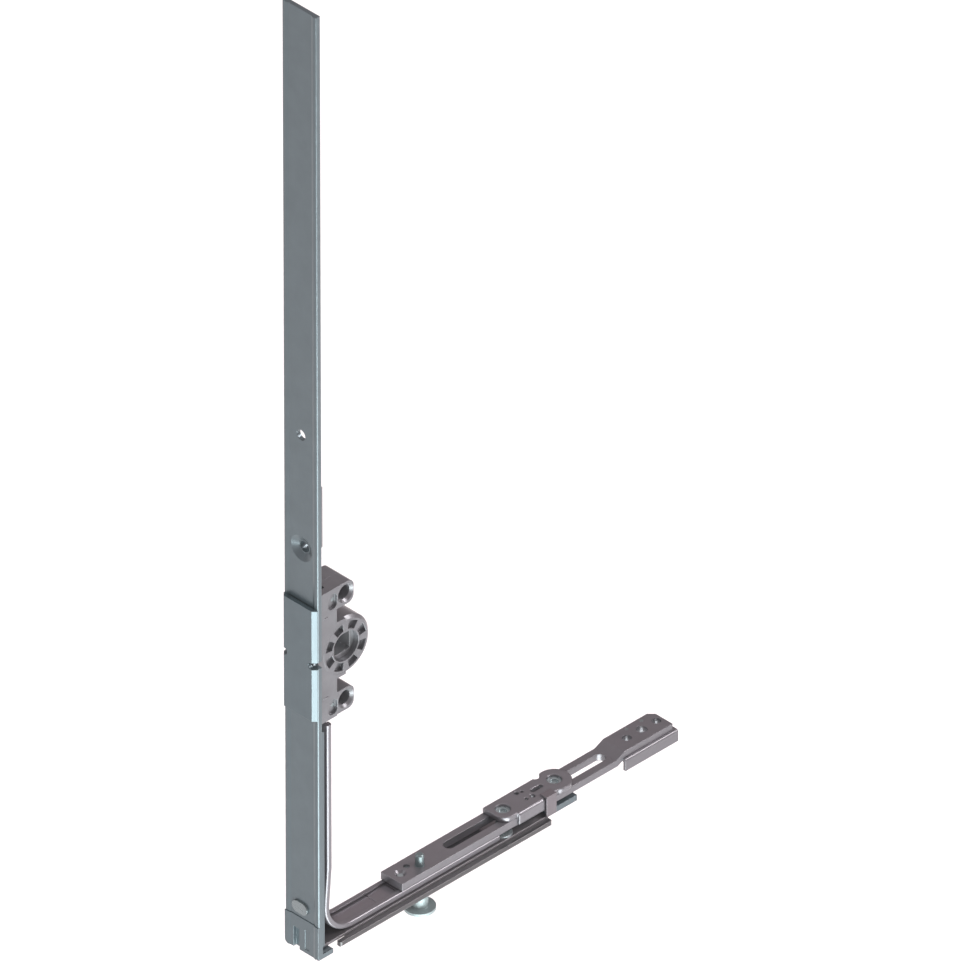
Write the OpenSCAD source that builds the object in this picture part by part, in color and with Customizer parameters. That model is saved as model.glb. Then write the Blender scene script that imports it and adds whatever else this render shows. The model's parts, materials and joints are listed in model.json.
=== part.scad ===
// Window espagnolette gearbox with a corner drive, a locking cam and an adjustable lower leg.
// Millimetres, +Z up. The origin is the centre of the spindle socket.
// The faceplate lies towards -X, and the lower leg runs from the corner towards +X.
// Inside the modules, X is measured from the faceplate's front face and placed() moves it.

/* [Faceplate] */
// Distance from the faceplate's front face to the spindle axis
backset = 15; // [14.5:0.5:17]
// Width of the faceplate and of the lower faceplate
faceplate_w = 16; // [15.6:0.2:18]
// Thickness of both faceplates
faceplate_t = 2; // [1.8:0.1:2.4]
// Height of the faceplate's top end above the spindle axis
faceplate_top = 261.4; // [150:0.2:400]
// Width of the raised lip along each long edge
lip_w = 1.5; // [1:0.1:2]
// Depth of the shallow recess between the lips
recess_d = 0.35; // [0.1:0.05:0.6]
// Height of the countersunk fixing hole above the spindle axis
fixing_hole_z = 44; // [43:0.5:60]
// Radius of the fixing hole in its bush
fixing_hole_r = 2.1; // [1.7:0.1:2.3]
// Radius of the fixing hole's countersink at the face
fixing_sink_r = 5; // [4:0.1:5.4]
// Height of the small pilot hole above the spindle axis
pilot_hole_z = 90; // [88:1:140]
// Radius of the small pilot hole
pilot_hole_r = 2; // [1:0.1:2.5]

/* [Gear plate] */
// Length of the raised plate in front of the gearbox
gear_plate_h = 45; // [40:0.5:50]
// Height of the raised plate over the faceplate
gear_plate_t = 1.6; // [1.6:0.1:3]
// Size of the chamfer on its two long edges
gear_plate_bevel = 1.4; // [0.4:0.1:1.5]
// Radius of the round end of the notch in each long edge
notch_r = 1.35; // [0.8:0.05:1.8]
// Depth of that notch from the long edge
notch_depth = 3; // [2:0.1:3.4]

/* [Gearbox case] */
// Thickness of the closed case
case_w = 12; // [11.6:0.2:13]
// Depth of the case's straight body behind the faceplate
case_d = 8.9; // [8.9:0.1:9.6]
// Height of the case above the spindle axis, and of its ears
case_up = 26; // [25.5:0.5:28]
// Depth of the case below the spindle axis
case_down = 26.5; // [26:0.5:27.5]
// Distance between the two handle screws
screw_spacing = 43; // [42:0.5:44]
// Radius of the handle screw holes
screw_hole_r = 2.6; // [2.2:0.1:2.9]
// Distance from the screw axis to the ear's free end
ear_reach = 3.7; // [3.5:0.1:4.5]
// Radius of the round hub boss
boss_r = 11.4; // [10.6:0.1:11.6]
// Number of pockets round the hub
pocket_count = 8; // [6:1:8]
// Depth of the pockets round the hub
pocket_d = 1.4; // [0.6:0.1:2]

/* [Pinion and rack] */
// Module of the pinion and the rack
tooth_module = 1; // [0.98:0.01:1.02]
// Number of teeth on the pinion
pinion_teeth = 17; // [17:1:17]
// Width of the pinion and the rack
gear_w = 6; // [5:0.2:6.4]
// Width across the flats of the square spindle socket
socket_w = 7; // [6:0.1:8]
// Radius of the hub's journals
journal_r = 5.8; // [5.7:0.1:6]
// Depth of the hub's end below the face of the case
hub_sink = 2; // [1:0.1:2.4]
// Number of teeth on the rack
rack_teeth = 10; // [8:2:10]
// Thickness of the drive rod
rod_t = 1.5; // [1.3:0.1:1.6]
// Width of the drive rod
rod_w = 9; // [8.6:0.2:9.2]
// Height of the coupling block's lower end above the spindle axis
block_z = 45.6; // [44:0.2:48]
// Length of the coupling block
block_h = 24.4; // [22:0.2:26]
// Width of the coupling block
block_w = 12; // [11:0.2:12.4]
// Thickness of the coupling block
block_t = 2.2; // [2:0.1:3]

/* [Guide channel] */
// Width of the bent guide channel
channel_w = 10.4; // [10.2:0.1:10.8]
// Depth of the guide channel
channel_d = 2.3; // [2.2:0.1:2.5]
// Wall of the guide channel
channel_wall = 0.6; // [0.5:0.05:0.65]
// Width of the mouth between the channel's lips
mouth_w = 6.4; // [6.2:0.2:7]
// Inside radius of the bend
bend_r = 11; // [10:0.5:14]
// Depth of the channel's upper end below the spindle axis
channel_top = 29.5; // [29.2:0.1:32]
// Distance from the faceplate's front face to the channel's upper stretch
channel_offset = 7; // [6.9:0.05:7.1]
// Sideways step of the channel just above the bend
jog = 1.2; // [0.8:0.1:1.4]
// Length over which the channel makes that step
jog_len = 15; // [10:0.5:15]
// Where the channel ends along the lower leg
channel_end = 88; // [84:0.5:88.3]
// Thickness of each layer of the spring band
band_t = 0.45; // [0.3:0.05:0.45]

/* [Corner and lower leg] */
// Distance from the spindle axis down to the lower faceplate's outer face
leg_drop = 120.6; // [120.6:0.2:150]
// Height of the corner piece
corner_h = 13; // [12:0.5:15]
// Reach of the corner piece's foot from the faceplate's front face
foot_reach = 6.8; // [5:0.2:8]
// Thickness of the strip that backs the lower faceplate
lower_strip_t = 1; // [0.8:0.1:1.2]
// Thickness of the strip that backs the upper faceplate
upper_strip_t = 2.2; // [2:0.1:2.2]
// Width of the strip that backs the upper faceplate
upper_strip_w = 13.2; // [12:0.2:13.6]
// Width of the strip that backs the lower faceplate
strip_w = 12; // [11.2:0.2:12.4]
// Where the lower faceplate starts
lower_start = 10.4; // [9:0.2:13]
// Where the lower faceplate ends
lower_end = 110; // [108:0.5:110]
// Where the connecting tongue ends
tongue_end = 124; // [118:0.5:128]

/* [Drive bar and locking cam] */
// Where the drive bar starts
bar_start = 42; // [42:0.5:44]
// Width of the drive bar and the extension bar
bar_w = 10.2; // [9.6:0.2:10.4]
// Thickness of the drive bar
bar_t = 2.95; // [2.5:0.05:3.1]
// Where the locking cam's axis lies
cam_x = 54.1; // [53.5:0.1:55]
// Offset of the cam's axis from the middle plane
cam_y = -1.15; // [-1.15:0.05:0]
// Radius of the cam pin's neck
neck_r = 1.75; // [1.5:0.05:1.75]
// Radius of the cam's roller
roller_r = 2.95; // [2.7:0.05:3.4]
// Radius of the cam's mushroom head
cam_head_r = 5.55; // [4.5:0.05:6.5]
// Distance from the lower faceplate down to the cam's end
cam_drop = 9.25; // [7:0.05:12]
// Height of the stud above the drive bar
stud_h = 4.5; // [2:0.1:6]
// Radius of the stud above the drive bar
stud_r = 1.55; // [1.2:0.05:1.9]

/* [Coupler and extension] */
// Where the coupler plate starts
coupler_start = 90; // [89:0.5:90.5]
// Thickness of the coupler plate
coupler_t = 2.05; // [1.6:0.05:2.4]
// Distance between the two coupler screws
coupler_span = 24.3; // [24:0.1:26]
// Radius of the coupler screws' heads
coupler_head_r = 2.7; // [2.4:0.1:3]
// Radius of the round lobe at the second screw
lobe_r = 6; // [5.4:0.1:6.4]
// Width of the slots in the drive bar and the extension bar
slot_w = 4.3; // [4.2:0.1:4.6]
// Thickness of the extension bar
extension_t = 2.65; // [2.2:0.05:2.9]
// Length of the extension bar's slot
extension_slot_l = 26; // [24:0.5:28]
// Height of the step up to the end plate
step_h = 1.9; // [1:0.1:2.4]
// Length of the end plate with its step
end_plate_l = 27; // [26:0.2:30]
// Radius of the end plate's outer holes
end_hole_r = 1.65; // [1.2:0.05:2]
// Radius of the end plate's middle hole
end_mid_hole_r = 2; // [1.5:0.1:2.4]
// Height of the folded angle under the end plate
angle_h = 4.7; // [3:0.1:6]

/* [Hidden] */
$fn = 64;

// Amount by which a cut passes the face that it opens
over = 0.5;
// Clearance between flat faces that slide past each other
slide_gap = 0.2;
// Clearance between stacked plates that move against each other
stack_gap = 0.1;
// Clearance of a round pin in its bore
pin_gap = 0.05;

// Gear train
pressure_angle = 20;
backlash = 0.2;
pitch = PI * tooth_module;
addendum = 0.9 * tooth_module;
dedendum = 1.25 * tooth_module;
pitch_r = tooth_module * pinion_teeth / 2;
travel = pitch_r * PI / 2;
rack_pitch_x = backset - pitch_r;
rod_front_x = faceplate_t + 0.1;
rod_back_x = rod_front_x + rod_t;
rod_low = 14;
rod_high = block_z + block_h - 2;
block_rivet_r = 0.9;
block_rivet_y = [-2.6, 2.6];
block_rivet_z = rod_high - 1.6;
tail_x = faceplate_t + upper_strip_t + slide_gap;
tail_t = channel_offset - slide_gap - tail_x;
tail_w = 6;
tail_low = channel_top + 10.5;
tail_high = travel + 5.4;
tail_rivets = [channel_top + 2, channel_top + 7.5];
tail_rivet_r = 1.2;
rack_rivet_z = 9;
band_tail_l = 8;

// Fixing screw slot in the rod and the block, as long as their travel needs
bush_r = fixing_hole_r + 0.4;
bush_end = rod_front_x + block_t + 2;
rod_slot_r = bush_r + 0.3;
rod_slot_low = fixing_hole_z - travel - 0.3;
rod_slot_high = fixing_hole_z + travel + 0.3;

// Case
case_half_w = case_w / 2;
case_room = gear_w / 2 + slide_gap;
ear_z = screw_spacing / 2;
ear_h = 2 * (case_up - ear_z);
dimple_x = 8.9;
dimple_z = [ear_z - 0.5, -ear_z - 0.5];
dimple_r = 2.05;
dimple_l = 2.2;
dimple_d = 1;
case_rivet_x = 9.8;
case_rivet_r = 0.8;
tick_z = [15.4, -17];

// Guide channel: heights along the lower leg and the centre of the bend
strip_top = -leg_drop + faceplate_t + lower_strip_t;
lip_top = strip_top + channel_d;
channel_low_x = channel_offset - jog;
bend_out_r = bend_r + channel_d;
bend_x = channel_low_x + bend_out_r;
bend_z = strip_top + bend_out_r;
step_low = bend_z + 0.8;
step_top = step_low + jog_len;
layer_gap = 0.05;
band_w = channel_w - 2 * channel_wall - 0.4;
band_layers = [channel_wall, channel_wall + band_t + layer_gap];
band_end = 58;

// Stop rivet and tongue
stop_x = 91.9;
stop_y = -2.2;
stop_rivet_r = 1.5;
tongue_rivet_x = [100, 106];

// Corner
corner_top = -leg_drop + corner_h;
corner_rivet_y = 0.9;
corner_rivet_z = corner_top + 4.2;
corner_rivet_r = 1.5;
tail_limit = -tail_low - travel;
spacer_z = [for (share = [0.19, 0.76]) tail_limit + share * (step_top - tail_limit)];
spacer_r = 2;

// Drive bar, cam and their slots
bar_bottom = lip_top + slide_gap;
bar_top = bar_bottom + bar_t;
bar_rivet_at = [[46.1, 0], [50.4, 1.4]];
bar_rivet_r = 1.1;
neck_room = neck_r + 0.3;
neck_slot = [cam_x - travel - neck_room, cam_x + travel + neck_room];
cam_end = -leg_drop - cam_drop;
cam_head_t = 1.1;
pin_head_r = 2.5;
pin_head_t = 0.8;

// Coupler, extension and their screws
screw_y = 0.1;
screw_neck_r = 1.85;
screw_foot_r = 2.5;
screw_foot_t = 0.5;
screw_foot_top = bar_bottom - stack_gap;
coupler_screw_a = coupler_start + 4.5;
coupler_screw_b = coupler_screw_a + coupler_span;
bar_slot = [coupler_screw_a - 27.5, coupler_screw_a + slot_w / 2 + 0.2];
bar_end = bar_slot[1] + 2;
plate_bottom = bar_top + stack_gap;
plate_top = bar_top + coupler_t;
extension_slot_start = coupler_screw_b - slot_w / 2 - 0.2;
extension_start = extension_slot_start - 3;
extension_slot_end = extension_slot_start + extension_slot_l;
step_x = extension_slot_end + 0.4;
step_l = 4.2;
end_x = step_x + end_plate_l;
flange = [coupler_screw_a + 2, coupler_screw_b - 10.3];
coupler_slot = [flange[1] - 0.3, flange[1] + 5.1];
punched = [[9.5, 3.2, 0.9], [11.5, 2.6, 0.6], [9.7, -1.4, 0.7], [12.4, -1.6, 1]];
flange_t = 0.7;
flange_y = -bar_w / 2 - 0.1;
flange_h = 4.6;
clip_x = [flange[1] + 0.3, flange[1] + 4.9];
clip_t = 0.65;
end_hole_pitch = 0.26 * end_plate_l;
end_holes = [for (i = [2 : -1 : 0]) end_x - 2.7 - i * end_hole_pitch];
end_top = bar_top + step_h;
angle_start = step_x + step_l - 0.6;
angle_rivet_x = [end_holes[0] + end_hole_pitch / 2, end_holes[1] + end_hole_pitch / 2];
angle_t = 1.1;

module placed() {
    translate([-backset, 0, 0]) children();
}

// A cylinder along X that starts at x
module along_x(x, y, z, r, len) {
    translate([x, y, z]) rotate([0, 90, 0]) cylinder(r = r, h = len);
}

// A cylinder along Y, centred on the middle plane
module along_y(x, z, r, len) {
    translate([x, 0, z]) rotate([90, 0, 0]) cylinder(r = r, h = len, center = true);
}

// A box from its lowest corner to its highest corner
module span_box(low, high) {
    translate(low) cube(high - low);
}

// A flat slot with round ends between two X values
module oblong(ends, y, width) {
    for (x = [ends[0] + width / 2, ends[1] - width / 2])
        translate([x, y]) circle(d = width);
    translate([ends[0] + width / 2, y - width / 2]) square([ends[1] - ends[0] - width, width]);
}

// A rectangle with four round corners
module soft_rect(low, high, r) {
    translate([low[0] + r, low[1]]) square([high[0] - low[0] - 2 * r, high[1] - low[1]]);
    translate([low[0], low[1] + r]) square([high[0] - low[0], high[1] - low[1] - 2 * r]);
    for (x = [low[0] + r, high[0] - r], y = [low[1] + r, high[1] - r])
        translate([x, y]) circle(r = r);
}

// A flat plate of the lower leg, between two heights
module level(z0, z1) {
    translate([0, 0, z0]) linear_extrude(z1 - z0) children();
}

// Stands a flat X-Z outline up and gives it a thickness from y0 to y1
module upright(y0, y1) {
    translate([0, y1, 0]) rotate([90, 0, 0]) linear_extrude(y1 - y0) children();
}

// Stands a flat Y-Z outline up and gives it a thickness from x0 to x1
module facing(x0, x1) {
    translate([x0, 0, 0]) rotate([90, 0, 90]) linear_extrude(x1 - x0) children();
}

// Cut between the lips of a faceplate, with slanted sides
module recess_outline() {
    slant_w = 1.1;
    out_y = faceplate_w / 2 - lip_w;
    in_y = out_y - slant_w;
    polygon([
        [-over, -out_y], [0, -out_y], [recess_d, -in_y],
        [recess_d, in_y], [0, out_y], [-over, out_y]
    ]);
}

// Section of a faceplate: X runs through its thickness from the front face
module faceplate_section() {
    front_r = 0.5;
    back_r = 0.3;
    half_w = faceplate_w / 2;
    difference() {
        union() {
            translate([front_r, -half_w]) square([faceplate_t - front_r - back_r, faceplate_w]);
            translate([0, -half_w + front_r]) square([front_r, faceplate_w - 2 * front_r]);
            translate([faceplate_t - back_r, -half_w + back_r]) square([back_r, faceplate_w - 2 * back_r]);
            for (side = [-1, 1]) {
                translate([front_r, side * (half_w - front_r)]) circle(r = front_r);
                translate([faceplate_t - back_r, side * (half_w - back_r)]) circle(r = back_r);
            }
        }
        recess_outline();
    }
}

// Round-ended notches in both long edges, between two X values
module edge_notches(x0, x1) {
    end_y = faceplate_w / 2 - notch_depth + notch_r;
    for (side = [-1, 1]) {
        along_x(x0, side * end_y, 0, notch_r, x1 - x0);
        translate([x0, side * (end_y + notch_depth / 2) - notch_depth / 2, -notch_r])
            cube([x1 - x0, notch_depth, 2 * notch_r]);
    }
}

module faceplate() {
    sink_end = faceplate_t - 0.2;
    color([0.46, 0.48, 0.51]) placed() difference() {
        translate([0, 0, corner_top]) linear_extrude(faceplate_top - corner_top)
            faceplate_section();
        along_x(-over, 0, fixing_hole_z, bush_r, faceplate_t + 2 * over);
        translate([recess_d, 0, fixing_hole_z]) rotate([0, 90, 0])
            cylinder(r1 = fixing_sink_r, r2 = bush_r, h = sink_end - recess_d);
        along_x(-over, 0, pilot_hole_z, pilot_hole_r, faceplate_t + 2 * over);
        along_x(-over, corner_rivet_y, corner_rivet_z, corner_rivet_r, faceplate_t + 2 * over);
        edge_notches(-over, faceplate_t + over);
    }
}

// Bush that leads the fixing screw through the slot of the drive rod
module screw_bush() {
    start = faceplate_t - 0.2;
    color([0.5, 0.52, 0.53]) placed() difference() {
        along_x(start, 0, fixing_hole_z, bush_r, bush_end - start);
        along_x(start - over, 0, fixing_hole_z, fixing_hole_r, bush_end - start + 2 * over);
    }
}

module gear_plate() {
    half_w = faceplate_w / 2;
    color([0.45, 0.48, 0.5]) placed() difference() {
        translate([-gear_plate_t, 0, -gear_plate_h / 2]) linear_extrude(gear_plate_h)
            polygon([
                [0, -half_w + gear_plate_bevel], [gear_plate_bevel, -half_w],
                [gear_plate_t, -half_w], [gear_plate_t, half_w],
                [gear_plate_bevel, half_w], [0, half_w - gear_plate_bevel]
            ]);
        edge_notches(-gear_plate_t - over, over);
    }
}

// Outline of the case seen along Y: the body, the neck of the boss and two ears
module case_outline() {
    body_x = faceplate_t + case_d;
    ear_r = 2.7;
    translate([faceplate_t, -case_down]) square([case_d, case_up + case_down]);
    translate([body_x - 1, -boss_r]) square([backset - body_x + 1, 2 * boss_r]);
    for (z = [-ear_z, ear_z])
        soft_rect([faceplate_t + 1, z - ear_h / 2], [backset + ear_reach, z + ear_h / 2], ear_r);
}

// One half of the case, drawn lying down: Z is the distance from the middle plane
module case_half() {
    rim = 1.1;
    tick = [2, 0.45, 0.2];
    pocket_angle = 27;
    pocket_in = journal_r + 0.6;
    pocket_out = boss_r - 1.9;
    band_x = channel_offset + band_layers[1] + band_t + slide_gap;
    rotate([90, 0, 0]) difference() {
        union() {
            linear_extrude(case_half_w) difference() {
                case_outline();
                translate([backset, 0]) circle(r = boss_r - 1);
            }
            translate([backset, 0, 0]) cylinder(r = boss_r, h = case_half_w - rim);
            translate([backset, 0, case_half_w - rim])
                cylinder(r1 = boss_r, r2 = boss_r - rim, h = rim);
            // Short raised marks of the snap tabs inside
            for (z = tick_z)
                translate([4.7, z, case_half_w - 0.01]) cube(tick);
        }
        // Room for the pinion, the rack, the drive rod and the end of the spring band
        translate([backset, 0, -over]) cylinder(r = pitch_r + tooth_module + 0.2, h = case_room + over);
        span_box([0, -case_down - over, -over],
            [rack_pitch_x + tooth_module + 0.3, case_up + over, case_room]);
        span_box([0, -case_down - over, -over],
            [rod_back_x + slide_gap, case_up + over, rod_w / 2 + slide_gap]);
        span_box([tail_x, -case_down - over, -over],
            [band_x, -channel_top + travel + 2, band_w / 2 + slide_gap]);
        // Bearing for the hub
        translate([backset, 0, 0]) cylinder(r = journal_r + pin_gap, h = case_half_w + over);
        // Pockets that leave radial ribs round the hub
        for (i = [0 : pocket_count - 1])
            translate([backset, 0, case_half_w - pocket_d])
                rotate([0, 0, (i + 0.5) * 360 / pocket_count - pocket_angle / 2])
                    rotate_extrude(angle = pocket_angle) translate([pocket_in, 0])
                        square([pocket_out - pocket_in, pocket_d + over]);
        // Handle screw holes with their countersinks
        for (z = [-ear_z, ear_z]) {
            translate([backset, z, -over]) cylinder(r = screw_hole_r, h = case_w);
            translate([backset, z, case_half_w - 1])
                cylinder(r1 = screw_hole_r, r2 = screw_hole_r + 1.1, h = 1.1);
        }
        // Oblong dimples, each with the hole of a case rivet in its floor
        for (z = dimple_z) {
            translate([case_rivet_x, z, -over]) cylinder(r = case_rivet_r, h = case_w);
            translate([0, 0, case_half_w - dimple_d]) linear_extrude(dimple_d + over) {
                for (dz = [-dimple_l / 2, dimple_l / 2])
                    translate([dimple_x, z + dz]) circle(r = dimple_r);
                translate([dimple_x - dimple_r, z - dimple_l / 2]) square([2 * dimple_r, dimple_l]);
            }
        }
    }
}

module case_front() {
    color([0.55, 0.54, 0.56]) placed() case_half();
}

module case_back() {
    color([0.55, 0.54, 0.56]) placed() mirror([0, 1, 0]) case_half();
}

// Two rivets that hold the halves of the case together, flush with the dimples' floors
module case_rivets() {
    color([0.55, 0.54, 0.56]) placed() for (z = dimple_z)
        along_y(case_rivet_x, z, case_rivet_r, 2 * (case_half_w - dimple_d));
}

// Involute curve of the pinion: the angle from the start of the curve at radius r
function involute_angle(r, base) = r <= base ? 0 :
    sqrt(pow(r / base, 2) - 1) * 180 / PI - acos(base / r);

// One flank of a pinion tooth, as points from the root to the tip
function flank(side) =
    let (base = pitch_r * cos(pressure_angle),
        half = 90 / pinion_teeth - backlash / 2 / pitch_r * 90 / PI + involute_angle(pitch_r, base))
    [for (i = [0 : 4])
        let (r = i == 0 ? pitch_r - dedendum : base + (pitch_r + addendum - base) * (i - 1) / 3,
            a = half - involute_angle(r, base))
        [r * cos(side * a), r * sin(side * a)]];

module pinion_outline() {
    circle(r = pitch_r - dedendum + 0.02);
    for (i = [0 : pinion_teeth - 1])
        rotate(180 + i * 360 / pinion_teeth)
            polygon(concat([[pitch_r - 2 * dedendum, -1]], flank(-1),
                [for (j = [4 : -1 : 0]) flank(1)[j]], [[pitch_r - 2 * dedendum, 1]]));
}

// Hub with its square socket and the pinion's teeth, turned by the handle's spindle
module drive_pinion() {
    color([0.42, 0.43, 0.44]) rotate([90, 0, 0]) difference() {
        union() {
            translate([0, 0, -gear_w / 2]) linear_extrude(gear_w) pinion_outline();
            translate([0, 0, -case_half_w + hub_sink])
                cylinder(r = journal_r, h = case_w - 2 * hub_sink);
        }
        translate([-socket_w / 2, -socket_w / 2, -case_w])
            cube([socket_w, socket_w, 2 * case_w]);
    }
}

// Outline of the rack in the X-Z plane, with a tooth space at the height of the axis
module rack_outline() {
    half_h = rack_teeth * pitch / 2;
    root = rack_pitch_x - dedendum;
    tip = rack_pitch_x + addendum;
    half_pitch_w = pitch / 4 - backlash / 2;
    root_w = half_pitch_w + dedendum * tan(pressure_angle);
    tip_w = half_pitch_w - addendum * tan(pressure_angle);
    translate([rod_back_x, -half_h]) square([root - rod_back_x + 0.01, 2 * half_h]);
    for (i = [0 : rack_teeth - 1])
        translate([0, (i + 0.5 - rack_teeth / 2) * pitch])
            polygon([[root, -root_w], [tip, -tip_w], [tip, tip_w], [root, root_w]]);
}

// Rack with the flat tail that pulls the spring band
module rack() {
    color([0.58, 0.58, 0.6]) placed() difference() {
        union() {
            upright(-gear_w / 2, gear_w / 2) rack_outline();
            span_box([tail_x, -tail_w / 2, -tail_low], [tail_x + tail_t, tail_w / 2, -tail_high]);
            span_box([tail_x, -tail_w / 2, -tail_high - 1],
                [rack_pitch_x - dedendum, tail_w / 2, -rack_teeth * pitch / 2 + 1]);
        }
        for (z = tail_rivets)
            along_x(0, 0, -z, tail_rivet_r, channel_offset);
        for (z = [-rack_rivet_z, rack_rivet_z])
            along_x(0, 0, z, tail_rivet_r, rack_pitch_x - dedendum);
    }
}

// Flat drive rod behind the faceplate, slotted for the fixing screw
module drive_rod() {
    color([0.5, 0.5, 0.52]) placed() difference() {
        span_box([rod_front_x, -rod_w / 2, -rod_low], [rod_back_x, rod_w / 2, rod_high]);
        for (z = [rod_slot_low, rod_slot_high])
            along_x(0, 0, z, rod_slot_r, rod_back_x + over);
        span_box([0, -rod_slot_r, rod_slot_low], [rod_back_x + over, rod_slot_r, rod_slot_high]);
        for (z = [-rack_rivet_z, rack_rivet_z])
            along_x(0, 0, z, tail_rivet_r, rod_back_x + over);
        for (y = block_rivet_y)
            along_x(0, y, block_rivet_z, block_rivet_r, rod_back_x + over);
    }
}

// Coupling block that saddles the upper end of the drive rod
module rod_block() {
    color([0.54, 0.54, 0.56]) placed() difference() {
        span_box([rod_front_x, -block_w / 2, block_z],
            [rod_front_x + block_t, block_w / 2, block_z + block_h]);
        span_box([0, -rod_w / 2, block_z - over], [rod_back_x, rod_w / 2, rod_high]);
        along_x(0, 0, rod_slot_high, rod_slot_r, block_t + 2 * faceplate_t);
        span_box([0, -rod_slot_r, block_z - over],
            [rod_front_x + block_t + over, rod_slot_r, rod_slot_high]);
        for (y = block_rivet_y)
            along_x(0, y, block_rivet_z, block_rivet_r, block_t + 2 * faceplate_t);
    }
}

// Rivets of the drive rod: two into the rack and two into the coupling block
module rod_rivets() {
    color([0.7, 0.7, 0.72]) placed() {
        for (z = [-rack_rivet_z, rack_rivet_z])
            along_x(rod_front_x, 0, z, tail_rivet_r, rack_pitch_x - dedendum - rod_front_x);
        for (y = block_rivet_y)
            along_x(rod_front_x, y, block_rivet_z, block_rivet_r, block_t);
    }
}

// Section of the guide channel: X runs from its outer face to its lips
module channel_section() {
    r = 0.75;
    difference() {
        soft_rect([0, -channel_w / 2], [channel_d, channel_w / 2], r);
        translate([channel_wall, -channel_w / 2 + channel_wall])
            square([channel_d - 2 * channel_wall, channel_w - 2 * channel_wall]);
        translate([channel_d / 2, -mouth_w / 2]) square([channel_d, mouth_w]);
    }
}

// Sweeps a section down behind the faceplate, through the step and the bend, to stop_x
module guide_path(start_z, stop_x) {
    translate([channel_offset, 0, step_top]) linear_extrude(-start_z - step_top) children();
    translate([channel_low_x, 0, step_low])
        multmatrix([[1, 0, jog / jog_len, 0], [0, 1, 0, 0], [0, 0, 1, 0], [0, 0, 0, 1]])
            linear_extrude(jog_len) children();
    translate([channel_low_x, 0, bend_z]) linear_extrude(step_low - bend_z) children();
    translate([bend_x, 0, bend_z]) rotate([90, 0, 0]) rotate([0, 0, 180])
        rotate_extrude(angle = 90) translate([bend_out_r, 0]) mirror([1, 0]) children();
    translate([bend_x, 0, strip_top]) rotate([0, 90, 0]) linear_extrude(stop_x - bend_x)
        mirror([1, 0]) children();
}

// Cuts the open slots that the rack's rivets and the cam pin run in
module band_slots() {
    rivet_room = tail_rivet_r + 0.3;
    slot_low = -tail_rivets[1] - travel - rivet_room;
    span_box([channel_offset - over, -rivet_room, slot_low],
        [channel_offset + band_layers[1], rivet_room, 0]);
    level(strip_top - over, lip_top - channel_wall - 0.1)
        oblong(neck_slot, cam_y, 2 * neck_room);
}

module guide_channel() {
    color([0.55, 0.55, 0.57]) placed() difference() {
        guide_path(channel_top, channel_end) channel_section();
        band_slots();
        for (z = spacer_z)
            along_x(0, 0, z, spacer_r / 2, channel_offset + channel_wall + 0.01);
    }
}

// Fixed layer of the spring band, bent along the channel
module spring_band() {
    color([0.44, 0.42, 0.43]) placed() difference() {
        guide_path(channel_top, band_end)
            translate([band_layers[0], -band_w / 2]) square([band_t, band_w]);
        band_slots();
    }
}

// Moving layer at the upper end of the spring band, riveted to the rack's tail
module upper_band_end() {
    color([0.44, 0.42, 0.43]) placed() difference() {
        translate([channel_offset + band_layers[1], -band_w / 2, -tail_low - band_tail_l])
            cube([band_t, band_w, tail_low + band_tail_l - channel_top]);
        for (z = tail_rivets)
            along_x(0, 0, -z, tail_rivet_r, channel_offset + channel_d);
    }
}

module upper_band_rivets() {
    color([0.7, 0.7, 0.72]) placed() for (z = tail_rivets)
        along_x(tail_x, 0, -z, tail_rivet_r, channel_offset + band_layers[1] + band_t - tail_x);
}

// Strip behind the faceplate, from the gearbox down to the corner
module upper_strip() {
    low = -leg_drop + faceplate_t + lower_strip_t;
    color([0.5, 0.5, 0.52]) placed() difference() {
        span_box([faceplate_t, -upper_strip_w / 2, low],
            [faceplate_t + upper_strip_t, upper_strip_w / 2, -case_down - 3]);
        for (z = spacer_z)
            along_x(0, 0, z, spacer_r / 2, faceplate_t + upper_strip_t + over);
        along_x(0, corner_rivet_y, corner_rivet_z, corner_rivet_r, faceplate_t + upper_strip_t + over);
    }
}

// Shouldered rivets that hold the channel off the strip
module channel_spacers() {
    strip_back = faceplate_t + upper_strip_t;
    color([0.7, 0.7, 0.72]) placed() for (z = spacer_z) {
        along_x(faceplate_t, 0, z, spacer_r / 2, channel_offset + channel_wall - faceplate_t);
        along_x(strip_back, 0, z, spacer_r, channel_offset - strip_back);
    }
}

// Staked rivet just above the corner, with an oblong head on the faceplate
module corner_rivet() {
    head_w = 7.2;
    head_h = 4.6;
    head_t = 0.7;
    ends = [corner_rivet_y - head_w / 2, corner_rivet_y + head_w / 2];
    strip_back = faceplate_t + upper_strip_t;
    color([0.52, 0.54, 0.55]) placed() {
        facing(recess_d - head_t, recess_d) oblong(ends, corner_rivet_z, head_h);
        along_x(recess_d, corner_rivet_y, corner_rivet_z, corner_rivet_r, strip_back - recess_d);
        along_x(strip_back, corner_rivet_y, corner_rivet_z, corner_rivet_r + 0.6, 0.9);
    }
}

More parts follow.
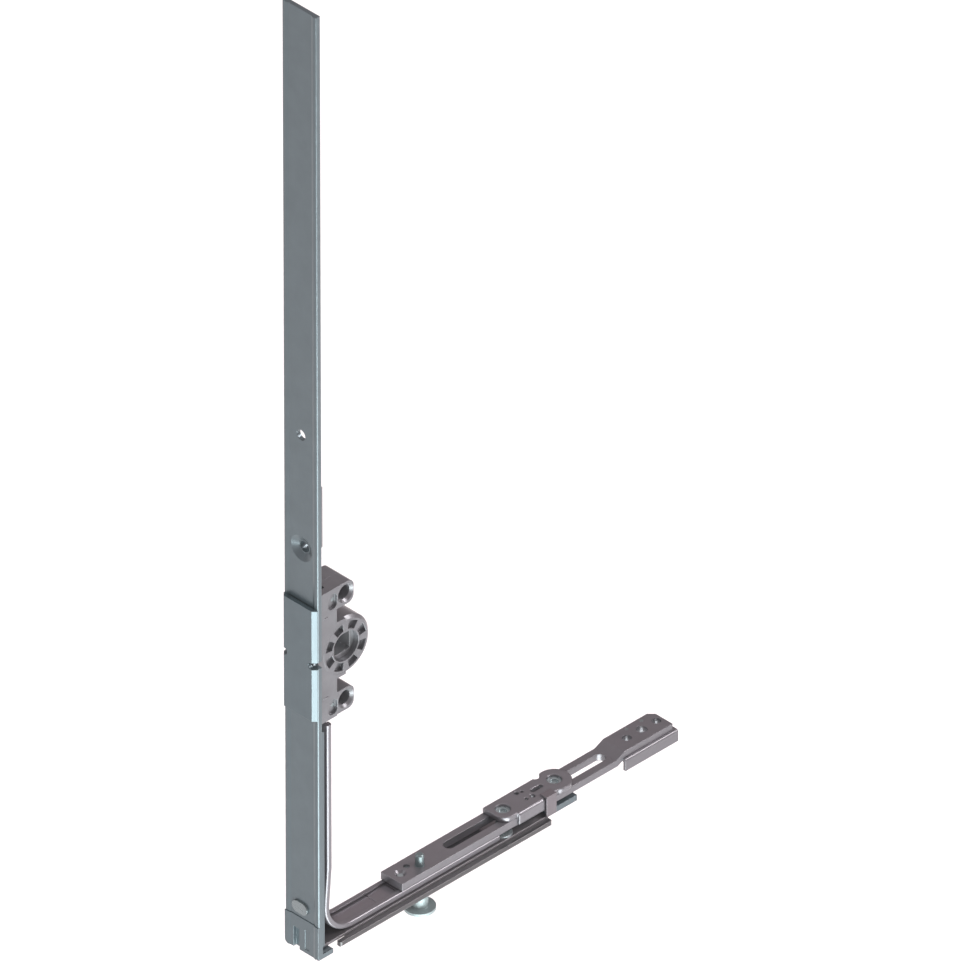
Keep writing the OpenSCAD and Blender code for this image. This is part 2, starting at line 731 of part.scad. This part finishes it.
// Cast corner piece: a front wall with the faceplate's lips and a foot under the strip's end
module corner_piece() {
    low = -leg_drop - 0.4;
    proud = 0.25;
    foot_t = 1.8;
    corner_r = 1.8;
    half_w = faceplate_w / 2;
    color([0.47, 0.5, 0.5]) placed() difference() {
        union() {
            facing(-proud, faceplate_t) {
                soft_rect([-half_w, low], [half_w, corner_top - corner_r], corner_r);
                translate([-half_w, low + corner_h / 2])
                    square([faceplate_w, corner_top - low - corner_h / 2]);
            }
            span_box([0, -half_w, low], [foot_reach, half_w - corner_r, low + foot_t]);
            span_box([0, upper_strip_w / 2, low + corner_r], [foot_reach - 1.5, half_w, corner_top - 3]);
        }
        translate([-proud, 0, low - over]) linear_extrude(corner_h + 2 * over) recess_outline();
        // Key slot, open at the lower end, and a shallow groove beside it
        span_box([-proud - over, 1.3, low - over], [faceplate_t - 0.6, 4.1, corner_top - 5]);
        span_box([-proud - over, -3.4, low + 1.5], [recess_d - proud + 0.2, -1.3, corner_top - 4]);
    }
}

// Strip on top of the lower faceplate, slotted for the locking cam
module lower_strip() {
    color([0.5, 0.48, 0.49]) placed() level(-leg_drop + faceplate_t, strip_top) difference() {
        translate([faceplate_t, -strip_w / 2]) square([lower_end - faceplate_t, strip_w]);
        oblong(neck_slot, cam_y, 2 * neck_room);
        translate([stop_x, stop_y]) circle(r = stop_rivet_r);
        for (x = tongue_rivet_x)
            translate([x, 0]) circle(r = 1);
    }
}

// Lower faceplate, forked at the corner
module lower_faceplate() {
    fork_d = 5;
    end_r = 0.8;
    half_w = faceplate_w / 2;
    color([0.48, 0.47, 0.48]) placed() difference() {
        intersection() {
            translate([lower_start, 0, -leg_drop]) rotate([0, 90, 0])
                linear_extrude(lower_end - lower_start) mirror([1, 0]) faceplate_section();
            level(-leg_drop - over, -leg_drop + faceplate_t + over)
                soft_rect([lower_start, -half_w], [lower_end, half_w], end_r);
        }
        level(-leg_drop - over, -leg_drop + faceplate_t + over) {
            translate([lower_start - over, -strip_w / 2 - 0.2]) square([fork_d + over, strip_w + 0.4]);
            oblong(neck_slot, cam_y, 2 * neck_room);
            translate([stop_x, stop_y]) circle(r = stop_rivet_r);
            for (x = tongue_rivet_x)
                translate([x, 0]) circle(r = 1);
        }
    }
}

// Rivet with a round flange just past the end of the channel
module stop_rivet() {
    flange_r = 3.6;
    flange_h = 0.8;
    dish_r = 2.4;
    dish_d = 0.5;
    color([0.7, 0.7, 0.72]) placed() translate([stop_x, stop_y, 0]) difference() {
        union() {
            translate([0, 0, -leg_drop]) cylinder(r = stop_rivet_r, h = faceplate_t + lower_strip_t);
            translate([0, 0, strip_top]) cylinder(r = flange_r, h = flange_h);
        }
        translate([0, 0, strip_top + flange_h - dish_d]) cylinder(r = dish_r, h = dish_d + over);
    }
}

// Tongue that carries the next faceplate, riveted to the end of the strip
module tongue() {
    tail_half_w = 2.8;
    head_half_w = 5.6;
    thick = 1.3;
    color([0.5, 0.49, 0.5]) placed() difference() {
        union() {
            level(strip_top, strip_top + thick)
                translate([lower_end - 13, -tail_half_w]) square([14, 2 * tail_half_w]);
            level(-leg_drop + faceplate_t, strip_top + thick)
                translate([lower_end, -head_half_w])
                    square([tongue_end - lower_end, 2 * head_half_w]);
        }
        for (x = tongue_rivet_x)
            translate([x, 0, strip_top - over]) cylinder(r = 1, h = thick + 2 * over);
    }
}

module tongue_rivets() {
    color([0.7, 0.7, 0.72]) placed() for (x = tongue_rivet_x)
        translate([x, 0, -leg_drop]) cylinder(r = 1, h = strip_top + leg_drop + 1.3);
}

// Drive bar that slides on the channel's lips
module drive_bar() {
    sink = 1.1;
    color([0.42, 0.41, 0.42]) placed() difference() {
        level(bar_bottom, bar_top) difference() {
            translate([bar_start, -bar_w / 2]) square([bar_end - bar_start, bar_w]);
            oblong(bar_slot, screw_y, slot_w);
            translate([cam_x, cam_y]) circle(r = neck_r);
            for (p = bar_rivet_at)
                translate(p) circle(r = bar_rivet_r);
        }
        translate([bar_rivet_at[0][0], bar_rivet_at[0][1], bar_top - sink])
            cylinder(r1 = bar_rivet_r, r2 = bar_rivet_r + 1, h = sink + 0.01);
    }
}

// Moving layer at the lower end of the spring band, riveted under the drive bar
module lower_band_end() {
    low = strip_top + band_layers[1];
    color([0.44, 0.42, 0.43]) placed() level(low, low + band_t) difference() {
        translate([bar_start, -band_w / 2]) square([band_end + 2 - bar_start, band_w]);
        translate([cam_x, cam_y]) circle(r = neck_r);
        for (p = bar_rivet_at)
            translate(p) circle(r = bar_rivet_r);
    }
}

module bar_rivets() {
    low = strip_top + band_layers[1];
    color([0.75, 0.76, 0.77]) placed() for (p = bar_rivet_at)
        translate([p[0], p[1], low]) cylinder(r = bar_rivet_r, h = bar_top - 0.9 - low);
}

// Pin of the locking cam, with the stud that stands above the drive bar
module cam_pin() {
    color([0.72, 0.74, 0.75]) placed() translate([cam_x, cam_y, 0]) {
        translate([0, 0, cam_end + pin_head_t]) cylinder(r = neck_r, h = bar_top - cam_end - pin_head_t);
        translate([0, 0, cam_end + 0.1]) cylinder(r = pin_head_r, h = pin_head_t - 0.1);
        translate([0, 0, bar_top]) cylinder(r = stud_r, h = stud_h - 0.5);
        translate([0, 0, bar_top + stud_h - 0.5]) cylinder(r1 = stud_r, r2 = stud_r - 0.5, h = 0.5);
    }
}

// Mushroom roller that turns on the cam pin
module locking_cam() {
    top = -leg_drop - slide_gap;
    color([0.6, 0.63, 0.63]) placed() translate([cam_x, cam_y, 0]) difference() {
        union() {
            translate([0, 0, cam_end]) cylinder(r = cam_head_r, h = cam_head_t);
            translate([0, 0, cam_end]) cylinder(r = roller_r, h = top - cam_end);
        }
        translate([0, 0, cam_end - over]) cylinder(r = neck_r + pin_gap, h = top - cam_end + 2 * over);
        translate([0, 0, cam_end - over]) cylinder(r = pin_head_r + 0.2, h = pin_head_t + over + 0.15);
    }
}

// Outline of the coupler plate, with its rounded corner, waist and round lobe
module coupler_outline() {
    half_w = bar_w / 2;
    waist_x = coupler_screw_b - 3.5;
    corner_r = 4;
    difference() {
        union() {
            translate([coupler_start + corner_r, -half_w])
                square([coupler_screw_b - coupler_start - corner_r - 2, bar_w]);
            translate([coupler_start, -half_w + corner_r]) square([corner_r, bar_w - corner_r]);
            translate([coupler_start + corner_r, -half_w + corner_r]) circle(r = corner_r);
            translate([coupler_screw_b, 0]) circle(r = lobe_r);
        }
        translate([waist_x, half_w + 0.9]) circle(r = 1.9);
    }
}

// Coupler plate with its folded flange, screw holes and small punched holes
module coupler_plate() {
    front_y = flange_y - flange_t;
    color([0.47, 0.46, 0.47]) placed() difference() {
        union() {
            level(plate_bottom, plate_top) coupler_outline();
            span_box([flange[0], front_y, plate_top - flange_h], [flange[1], flange_y, plate_top - 1]);
            span_box([flange[0], front_y + 1, plate_bottom], [flange[1], 0, plate_top]);
            translate([flange[0], front_y + 1, plate_top - 1]) rotate([0, 90, 0])
                cylinder(r = 1, h = flange[1] - flange[0]);
        }
        for (x = [coupler_screw_a, coupler_screw_b])
            translate([x, screw_y, bar_top - over])
                cylinder(r = coupler_head_r, h = coupler_t + 2 * over);
        for (p = punched)
            translate([coupler_screw_a + p[0], p[1], bar_top - over])
                cylinder(r = p[2], h = coupler_t + 2 * over);
        level(bar_top - over, plate_top + over) oblong(coupler_slot, 0.5, 1.8);
    }
}

// Spring clip that wraps the front edge of the coupler
module coupler_clip() {
    out_y = flange_y - flange_t - clip_t;
    in_y = flange_y - flange_t;
    low = strip_top + 0.15;
    tab_z = bar_bottom - 0.1;
    color([0.6, 0.58, 0.6]) placed() {
        span_box([clip_x[0], out_y, low], [clip_x[1], in_y, plate_top]);
        span_box([clip_x[0], out_y, plate_top], [clip_x[1], -3.4, plate_top + clip_t]);
        span_box([clip_x[0], in_y - 0.01, tab_z - 0.5], [clip_x[1], -2.6, tab_z]);
    }
}

module coupler_screws() {
    socket = 0.8;
    head_top = plate_top - 0.9;
    color([0.75, 0.77, 0.78]) placed() for (x = [coupler_screw_a, coupler_screw_b])
        translate([x, screw_y, 0]) difference() {
            union() {
                translate([0, 0, plate_bottom])
                    cylinder(r = coupler_head_r, h = head_top - plate_bottom);
                translate([0, 0, screw_foot_top])
                    cylinder(r = screw_neck_r, h = plate_bottom - screw_foot_top);
                translate([0, 0, screw_foot_top - screw_foot_t])
                    cylinder(r = screw_foot_r, h = screw_foot_t);
            }
            translate([0, 0, head_top - socket]) cylinder(r = 1.5, h = socket + over);
        }
}

// Side view of the extension bar: the slotted stretch, the step and the end plate
module extension_side() {
    low = bar_top - extension_t;
    polygon([
        [extension_start, low], [step_x + 0.8, low], [step_x + step_l + 0.8, low + step_h],
        [end_x, low + step_h], [end_x, end_top], [step_x + step_l, end_top],
        [step_x, bar_top], [extension_start, bar_top]
    ]);
}

module extension_bar() {
    half_w = bar_w / 2;
    cut = 2.1;
    high = end_top + over;
    color([0.44, 0.43, 0.44]) placed() difference() {
        upright(-half_w, half_w) extension_side();
        level(bar_bottom - over, high) {
            oblong([extension_slot_start, extension_slot_end], screw_y, slot_w);
            translate([end_holes[1], 0]) circle(r = end_mid_hole_r);
            for (x = [end_holes[0], end_holes[2]])
                translate([x, 0]) circle(r = end_hole_r);
            polygon([[end_x - cut, half_w + over], [end_x - cut, half_w], [end_x, half_w - cut],
                [end_x + over, half_w - cut], [end_x + over, half_w + over]]);
            for (x = angle_rivet_x)
                translate([x, 3.6]) circle(r = 0.7);
        }
    }
}

// Folded angle under the end plate, whose flange hangs along the front side
module end_angle() {
    top = end_top - extension_t;
    out_y = -bar_w / 2 - 1.1;
    fold_r = 0.8;
    right = end_x + 1.6;
    color([0.54, 0.53, 0.54]) placed() difference() {
        union() {
            span_box([angle_start + 2.1, out_y + fold_r, top - angle_t], [right, bar_w / 2 - 0.4, top]);
            span_box([angle_start, out_y, top - angle_h], [right, out_y + angle_t, top - fold_r]);
            along_x(angle_start, out_y + fold_r, top - fold_r, fold_r, right - angle_start);
        }
        translate([end_holes[1], 0, top - angle_t - over])
            cylinder(r = end_mid_hole_r, h = angle_t + 2 * over);
        for (x = [end_holes[0], end_holes[2]])
            translate([x, 0, top - angle_t - over]) cylinder(r = end_hole_r, h = angle_t + 2 * over);
        for (x = angle_rivet_x)
            translate([x, 3.6, top - angle_t - over]) cylinder(r = 0.7, h = angle_t + 2 * over);
    }
}

module angle_rivets() {
    color([0.5, 0.49, 0.5]) placed() for (x = angle_rivet_x)
        translate([x, 3.6, end_top - extension_t - angle_t]) cylinder(r = 0.7, h = extension_t + angle_t);
}

faceplate();
screw_bush();
gear_plate();
case_front();
case_back();
case_rivets();
upper_strip();
lower_strip();
corner_piece();
corner_rivet();
channel_spacers();
guide_channel();
spring_band();
lower_faceplate();
stop_rivet();
tongue();
tongue_rivets();
drive_pinion();
rack();
drive_rod();
rod_block();
rod_rivets();
upper_band_end();
upper_band_rivets();
drive_bar();
lower_band_end();
bar_rivets();
cam_pin();
locking_cam();
coupler_plate();
coupler_clip();
coupler_screws();
extension_bar();
end_angle();
angle_rivets();
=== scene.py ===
import json
import math

import bmesh
import bpy
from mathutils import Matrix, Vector


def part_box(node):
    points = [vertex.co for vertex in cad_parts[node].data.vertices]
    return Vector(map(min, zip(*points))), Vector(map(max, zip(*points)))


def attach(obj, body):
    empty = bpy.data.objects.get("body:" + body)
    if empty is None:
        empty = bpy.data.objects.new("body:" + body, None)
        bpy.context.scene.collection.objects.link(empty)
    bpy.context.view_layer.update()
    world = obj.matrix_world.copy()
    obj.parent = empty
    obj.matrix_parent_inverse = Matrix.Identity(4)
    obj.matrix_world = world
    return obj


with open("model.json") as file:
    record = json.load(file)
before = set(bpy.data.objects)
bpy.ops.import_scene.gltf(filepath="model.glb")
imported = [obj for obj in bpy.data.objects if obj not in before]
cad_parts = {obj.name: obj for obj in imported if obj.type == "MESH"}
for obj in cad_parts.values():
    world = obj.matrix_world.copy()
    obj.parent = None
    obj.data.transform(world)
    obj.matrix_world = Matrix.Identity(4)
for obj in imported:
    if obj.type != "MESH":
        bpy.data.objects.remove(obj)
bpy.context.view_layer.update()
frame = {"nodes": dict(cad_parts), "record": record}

# Height of the floor, well below the part, so that no hard shadow falls in the picture
FLOOR_Z = -0.42

# Colour, roughness, grain direction and how strong the fine marks are, for each finish
FINISHES = {
    "zinc_plate": ((0.102, 0.127, 0.138), 0.30, "Z", 0.5),
    "cast_zinc": ((0.158, 0.158, 0.168), 0.34, None, 0.9),
    "zinc_bar": ((0.158, 0.156, 0.168), 0.30, "X", 0.5),
    "hub_steel": ((0.165, 0.170, 0.178), 0.34, None, 0.9),
    "rivet_steel": ((0.270, 0.310, 0.320), 0.28, None, 0.4),
    "spring_steel": ((0.160, 0.152, 0.165), 0.32, "X", 0.4),
}

# Nodes whose red, green and blue differ from the rest of their slot; the lower strip's is
# painted fill light, lightening it against the shade it lies in
TONES_AND_PAINTED_FILL = {
    "corner_rivet": (0.65, 0.65, 0.65),
    "angle_rivets": (0.6, 0.6, 0.6),
    "case_rivets": (0.65, 0.65, 0.65),
    "cam_pin": (0.5, 0.55, 0.55),
    "locking_cam": (0.95, 1.0, 0.98),
    "coupler_clip": (0.92, 0.86, 0.86),
    "case_front": (0.88, 0.9, 0.9),
    "case_back": (0.88, 0.9, 0.9),
    "gear_plate": (0.94, 0.96, 0.97),
    "extension_bar": (0.9, 0.9, 0.9),
    "end_angle": (0.88, 0.88, 0.88),
    "lower_faceplate": (0.74, 0.59, 0.56),
    # Painted light: the lower strip is made lighter to lift the shade under the channel's bend
    # and the faceplate
    "lower_strip": (1.35, 1.06, 1.02),
}

# Nodes that are duller than the rest of their slot, and their roughness
DULL = {"locking_cam": 0.55, "cam_pin": 0.4}

# Radius in metres of a node's soft edges, and of those that the usual one doesn't fit
EDGE = 0.00025
EDGES = {
    "coupler_plate": 0.0009,
    "corner_rivet": 0.0003,
    "lower_strip": 0.0005,
    "lower_faceplate": 0.0005,
    "cam_pin": 0.00015,
    "end_angle": 0.0004,
    "extension_bar": 0.0003,
    "guide_channel": 0.0001,
    "spring_band": 0.00005,
    "drive_pinion": 0.0001,
    "rack": 0.0001,
}

# Scale of the fine grain along X, Y and Z: drawn out along one axis, or even
GRAIN_SCALE = {"X": (60, 2600, 2600), "Z": (2600, 2600, 60), None: (900, 900, 900)}
# Scale of the soft mottle, and how far it moves the colour either way
MOTTLE_SCALE = 130.0
MOTTLE = 0.10
# The span of the noise that colour and gloss are spread over
NOISE_LOW, NOISE_HIGH = 0.3, 0.7
# Share of the metal's look that isn't diffuse, so that crevices still take light
METALLIC = 0.6
# Depth in metres of the grain's bump
GRAIN_DEPTH = 0.00006

# Each soft panel's name, place, aim, size in metres, brightness and colour
PANELS = (
    ("front_low", (-0.30, -0.43, -0.40), (-0.30, -0.43, 1), (0.8, 0.55), 9.0, (0.93, 1.0, 1.0)),
    ("right_high", (0.85, -0.80, 0.80), (0.05, 0, 0), (0.6, 0.6), 14.0, (1.0, 0.95, 0.96)),
    ("left_high", (-0.80, 0.80, 0.80), (0.05, 0, 0), (0.6, 0.6), 3.0, (0.9, 1.0, 1.0)),
    ("top", (0.3, 0.3, 2.6), (0.3, 0.3, 0), (2.0, 2.0), 1.2, (1.0, 1.0, 1.0)),
)


def metal(name, colour, roughness, grain, marks, edge):
    """Zinc-plated or cast metal: a soft mottle, a fine grain and soft edges."""
    material = bpy.data.materials.new(name)
    material.use_nodes = True
    nodes, link = material.node_tree.nodes, material.node_tree.links.new
    nodes.clear()
    out = nodes.new("ShaderNodeOutputMaterial")
    shader = nodes.new("ShaderNodeBsdfPrincipled")
    shader.inputs["Metallic"].default_value = METALLIC
    link(shader.outputs["BSDF"], out.inputs["Surface"])
    place = nodes.new("ShaderNodeTexCoord")
    stretch = nodes.new("ShaderNodeMapping")
    stretch.inputs["Scale"].default_value = GRAIN_SCALE[grain]
    link(place.outputs["Object"], stretch.inputs["Vector"])
    fine = nodes.new("ShaderNodeTexNoise")
    fine.inputs["Scale"].default_value = 1.0
    fine.inputs["Detail"].default_value = 3.0
    link(stretch.outputs["Vector"], fine.inputs["Vector"])
    cloud = nodes.new("ShaderNodeTexNoise")
    cloud.inputs["Scale"].default_value = MOTTLE_SCALE
    cloud.inputs["Detail"].default_value = 4.0
    cloud.inputs["Roughness"].default_value = 0.6
    link(place.outputs["Object"], cloud.inputs["Vector"])

    tint = nodes.new("ShaderNodeValToRGB")
    ends = ((NOISE_LOW, 1 - MOTTLE * marks), (NOISE_HIGH, 1 + MOTTLE * marks))
    for element, (position, shift) in zip(tint.color_ramp.elements, ends):
        element.position = position
        element.color = (*(min(1, c * shift) for c in colour), 1)
    link(cloud.outputs["Fac"], tint.inputs["Fac"])
    link(tint.outputs["Color"], shader.inputs["Base Color"])

    gloss = nodes.new("ShaderNodeMapRange")
    gloss.inputs["From Min"].default_value = NOISE_LOW
    gloss.inputs["From Max"].default_value = NOISE_HIGH
    gloss.inputs["To Min"].default_value = roughness - 0.05 * marks
    gloss.inputs["To Max"].default_value = roughness + 0.07 * marks
    link(fine.outputs["Fac"], gloss.inputs["Value"])
    link(gloss.outputs["Result"], shader.inputs["Roughness"])

    bump = nodes.new("ShaderNodeBump")
    bump.inputs["Strength"].default_value = 0.10 * marks
    bump.inputs["Distance"].default_value = GRAIN_DEPTH
    link(fine.outputs["Fac"], bump.inputs["Height"])
    # Small round edges that catch the light, as on stamped and cast parts
    rounding = nodes.new("ShaderNodeBevel")
    rounding.samples = 6
    rounding.inputs["Radius"].default_value = edge
    link(rounding.outputs["Normal"], bump.inputs["Normal"])
    link(bump.outputs["Normal"], shader.inputs["Normal"])
    return material


def dress():
    """Gives each CAD node its finish: its slot's, with the node's own tone, gloss and edges;
    the lower strip's tone is painted fill light against its shade.
    """
    slots = {s["node"]: s["material_slot"] for s in frame["record"]["subparts"]}
    made = {}
    for name, obj in frame["nodes"].items():
        slot = slots[name]
        tone_or_fill = TONES_AND_PAINTED_FILL.get(name, (1.0, 1.0, 1.0))
        edge = EDGES.get(name, EDGE)
        key = (slot, tone_or_fill, edge, name in DULL)
        if key not in made:
            colour, roughness, grain, marks = FINISHES[slot]
            roughness = DULL.get(name, roughness)
            # Multiplies in each node's tone; for the lower strip this is a painted lift against
            # shade
            shade = [c * t for c, t in zip(colour, tone_or_fill)]
            made[key] = metal(f"{slot}_{len(made)}", shade, roughness, grain, marks, edge)
        obj.data.materials.clear()
        obj.data.materials.append(made[key])


def add_band_run():
    """The moving band's run before the drive bar, which thins out to nothing at its front."""
    low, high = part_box("lower_band_end")
    # In metres: how far it reaches forward, over what length it thins out, and how thin
    length, taper, thin = 0.009, 0.006, 0.00003
    # In metres: how far its long edges drop, and how high its middle stands
    soft, crown = 0.00008, 0.00006
    middle, half = (low[1] + high[1]) / 2, (high[1] - low[1]) / 2
    thick = high[2] - low[2]
    # Strips across and along
    across, along = 16, 18
    mesh = bmesh.new()
    rings = []
    for step in range(along + 1):
        away = length * step / along
        top = low[2] + max(thin, thick * min(1.0, away / taper))
        bow = (top - low[2]) / thick
        ring = []
        for side in range(across + 1):
            part = 2 * side / across - 1
            drop = soft if side in (0, across) else 0.0
            ring.append((middle + part * half, top - bow * (crown * part * part + drop)))
        ring += [(middle + half, low[2]), (middle - half, low[2])]
        rings.append([mesh.verts.new((low[0] - length + away, y, z)) for y, z in ring])
    for one, two in zip(rings, rings[1:]):
        for i in range(len(one)):
            j = (i + 1) % len(one)
            mesh.faces.new((one[i], one[j], two[j], two[i])).smooth = i < across
    mesh.faces.new(rings[0])
    mesh.faces.new(rings[-1])
    bmesh.ops.recalc_face_normals(mesh, faces=mesh.faces)
    data = bpy.data.meshes.new("band_run")
    mesh.to_mesh(data)
    mesh.free()
    band = bpy.data.objects.new("band_run", data)
    bpy.context.scene.collection.objects.link(band)
    colour, roughness, grain, marks = FINISHES["spring_steel"]
    data.materials.append(metal("band_run", colour, roughness, grain, marks, soft))
    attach(band, "bar")


def turned(way):
    """The rotation of a light or camera that looks that way."""
    return way.to_track_quat("-Z", "Y").to_euler()


def panel(name, place, aim, size, brightness, colour):
    """A soft light of a given size and brightness, which the camera doesn't see."""
    data = bpy.data.lights.new(name, "AREA")
    data.shape = "RECTANGLE"
    data.size, data.size_y = size
    data.energy = brightness * math.pi * size[0] * size[1]
    data.color = colour
    obj = bpy.data.objects.new(name, data)
    bpy.context.scene.collection.objects.link(obj)
    obj.location = place
    obj.rotation_euler = turned(Vector(aim) - Vector(place))
    obj.visible_camera = False


def add_lights():
    """Soft panels, each seen in the faces and edges that turn its way, and a wide fill."""
    for values in PANELS:
        panel(*values)
    data = bpy.data.lights.new("fill", "SUN")
    data.energy = 2.0
    data.angle = math.radians(12)
    fill = bpy.data.objects.new("fill", data)
    bpy.context.scene.collection.objects.link(fill)
    # Along the photograph's view, so that its shadows fall out of sight
    fill.rotation_euler = turned(Vector((1, 1, -1)))
    # It fills the shade only: mirrored in the top faces it would burn them out from the back
    fill.visible_glossy = False


def add_floor():
    """A plain pale floor."""
    bpy.ops.mesh.primitive_plane_add(size=40, location=(0, 0, FLOOR_Z))
    floor = bpy.context.object
    floor.name = "floor"
    material = bpy.data.materials.new("floor")
    material.use_nodes = True
    shader = material.node_tree.nodes["Principled BSDF"]
    shader.inputs["Base Color"].default_value = (0.93, 0.93, 0.93, 1)
    shader.inputs["Roughness"].default_value = 1.0
    shader.inputs["Specular IOR Level"].default_value = 0.0
    floor.data.materials.append(material)


def add_world():
    """A plain, slightly warm surround, which the metal reflects."""
    world = bpy.data.worlds.new("studio")
    bpy.context.scene.world = world
    world.use_nodes = True
    background = world.node_tree.nodes["Background"]
    background.inputs["Color"].default_value = (0.84, 0.70, 0.72, 1)
    background.inputs["Strength"].default_value = 0.62


def add_camera():
    """The photograph is isometric, so a long lens, fitted to it over the whole part."""
    azimuth, elevation = math.radians(-44.648), math.radians(35.227)
    # The picture's centre, and its width in metres at that point
    centre = Vector((0.06949, 0.00035, 0.02945))
    width = 0.32084
    lens, sensor = 1400.0, 36.0
    distance = lens / sensor * width
    level = math.cos(elevation)
    outward = Vector((
        math.sin(azimuth) * level, -math.cos(azimuth) * level, math.sin(elevation)
    ))
    data = bpy.data.cameras.new("camera")
    data.lens = lens
    data.sensor_width = sensor
    data.clip_end = 100
    camera = bpy.data.objects.new("camera", data)
    bpy.context.scene.collection.objects.link(camera)
    camera.location = centre + outward * distance
    camera.rotation_euler = turned(-outward)
    bpy.context.scene.camera = camera


dress()
add_band_run()
add_floor()
add_world()
add_lights()
add_camera()
bpy.context.scene.view_settings.view_transform = "Standard"
